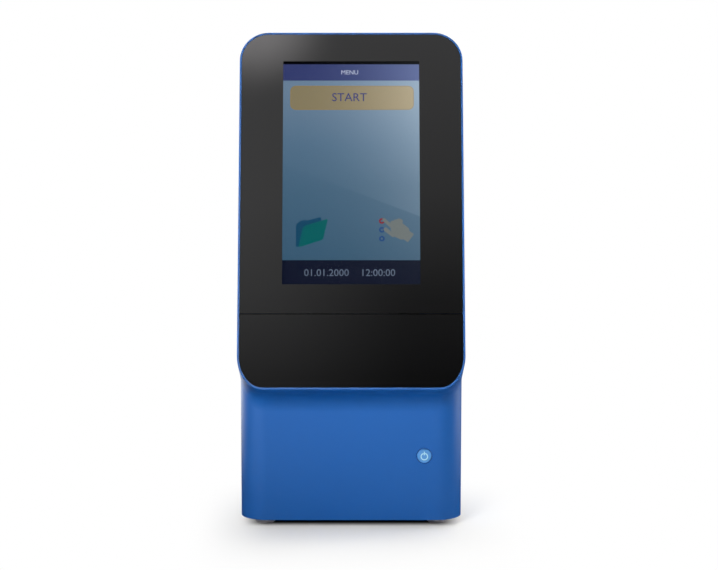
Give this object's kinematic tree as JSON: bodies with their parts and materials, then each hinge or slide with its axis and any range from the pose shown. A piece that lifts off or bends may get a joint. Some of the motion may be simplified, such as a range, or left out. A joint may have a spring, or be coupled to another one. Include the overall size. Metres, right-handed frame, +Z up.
{
  "type": "veterinary chemistry analyzer",
  "caption": "Benchtop veterinary chemistry analyzer with a tilted touch screen, a sliding disc drawer below it, a power button, rubber feet, a rear fan filter and rear sockets.",
  "frame": {"origin": "centre of the unit's footprint on the surface that it stands on", "axes": "+X to the right seen from the front, +Y from the front to the back, +Z up"},
  "size_m": [0.149, 0.2028, 0.3238],
  "materials": {
    "blue_shell": "satin blue moulded plastic",
    "grey_shell": "fine textured charcoal plastic",
    "black_gloss": "polished black plastic",
    "touch_glass": "clear cover glass",
    "screen": "lit display behind glass",
    "sheet_steel": "zinc plated sheet",
    "steel": "plated steel",
    "aluminium": "machined aluminium",
    "acetal": "natural acetal",
    "tray_plastic": "light grey moulded plastic",
    "black_plastic": "black moulded plastic",
    "circuit_board": "green solder mask",
    "foot_rubber": "soft grey rubber",
    "foam": "open cell filter foam",
    "button_plastic": "translucent light blue plastic",
    "dark_ring": "dark blue ring"
  },
  "bodies": {
    "case": {"housing": "blue_shell", "base_plate": "sheet_steel", "foot_front_left": "foot_rubber", "foot_front_right": "foot_rubber", "foot_rear_left": "foot_rubber", "foot_rear_right": "foot_rubber", "display_bezel": "black_gloss", "touch_glass": "touch_glass", "lcd_panel": "screen", "display_bracket": "sheet_steel", "main_board": "circuit_board", "chassis_deck": "sheet_steel", "chassis_side_left": "sheet_steel", "chassis_side_right": "sheet_steel", "deck_screws": "steel", "drawer_guide_left": "acetal", "drawer_guide_right": "acetal", "drawer_motor": "steel", "drawer_sensor": "black_plastic", "lift_posts": "steel", "lift_actuator": "black_plastic", "chamber_cover": "aluminium", "optics_block": "aluminium", "detector_board": "circuit_board", "flash_lamp": "steel", "barcode_reader": "black_plastic", "power_board": "circuit_board", "dc_jack": "black_plastic", "ethernet_port": "steel", "usb_ports": "steel", "rear_panel": "grey_shell", "speaker": "black_plastic", "fan_frame": "black_plastic", "button_ring": "dark_ring", "button_board": "circuit_board", "bezel_screws": "steel", "board_screws": "steel", "rear_screws": "steel", "base_screws": "steel"},
    "drawer": {"drawer_front": "black_gloss", "drawer_tray": "tray_plastic", "drawer_rack": "acetal", "drawer_screws": "steel"},
    "drive_gear": {"drawer_pinion": "acetal", "pinion_shaft": "steel"},
    "lift": {"lift_plate": "aluminium", "lift_screw": "steel", "spindle_motor": "steel"},
    "spindle": {"spindle_hub": "aluminium"},
    "fan": {"fan_rotor": "black_plastic"},
    "filter": {"filter_cover": "grey_shell", "filter_foam": "foam"},
    "button": {"power_button": "button_plastic"}
  },
  "joints": [
    {"name": "drawer_slide", "type": "slide", "parent": "case", "child": "drawer", "axis": [0, -1, 0], "range_m": [0, 0.11]},
    {"name": "pinion_spin", "type": "hinge", "parent": "case", "child": "drive_gear", "pos_m": [-0.0565, -0.055, 0.107], "axis": [0, 0, 1], "range_deg": [-901, 0]},
    {"name": "spindle_lift", "type": "slide", "parent": "case", "child": "lift", "axis": [0, 0, 1], "range_m": [0, 0.006]},
    {"name": "spindle_spin", "type": "hinge", "parent": "lift", "child": "spindle", "pos_m": [0, -0.022, 0.1], "axis": [0, 0, 1], "continuous": true},
    {"name": "fan_spin", "type": "hinge", "parent": "case", "child": "fan", "pos_m": [0, 0.085, 0.2], "axis": [0, 1, 0], "continuous": true},
    {"name": "filter_cover_pull", "type": "slide", "parent": "case", "child": "filter", "axis": [0, 1, 0], "range_m": [0, 0.03]},
    {"name": "power_button_press", "type": "slide", "parent": "case", "child": "button", "axis": [0, 1, 0], "range_m": [0, 0.0012], "stiffness_N_per_m": 1200}
  ],
  "couplings": [
    {"joint": "pinion_spin", "follows": "drawer_slide", "rad_per_m": -142.86}
  ]
}
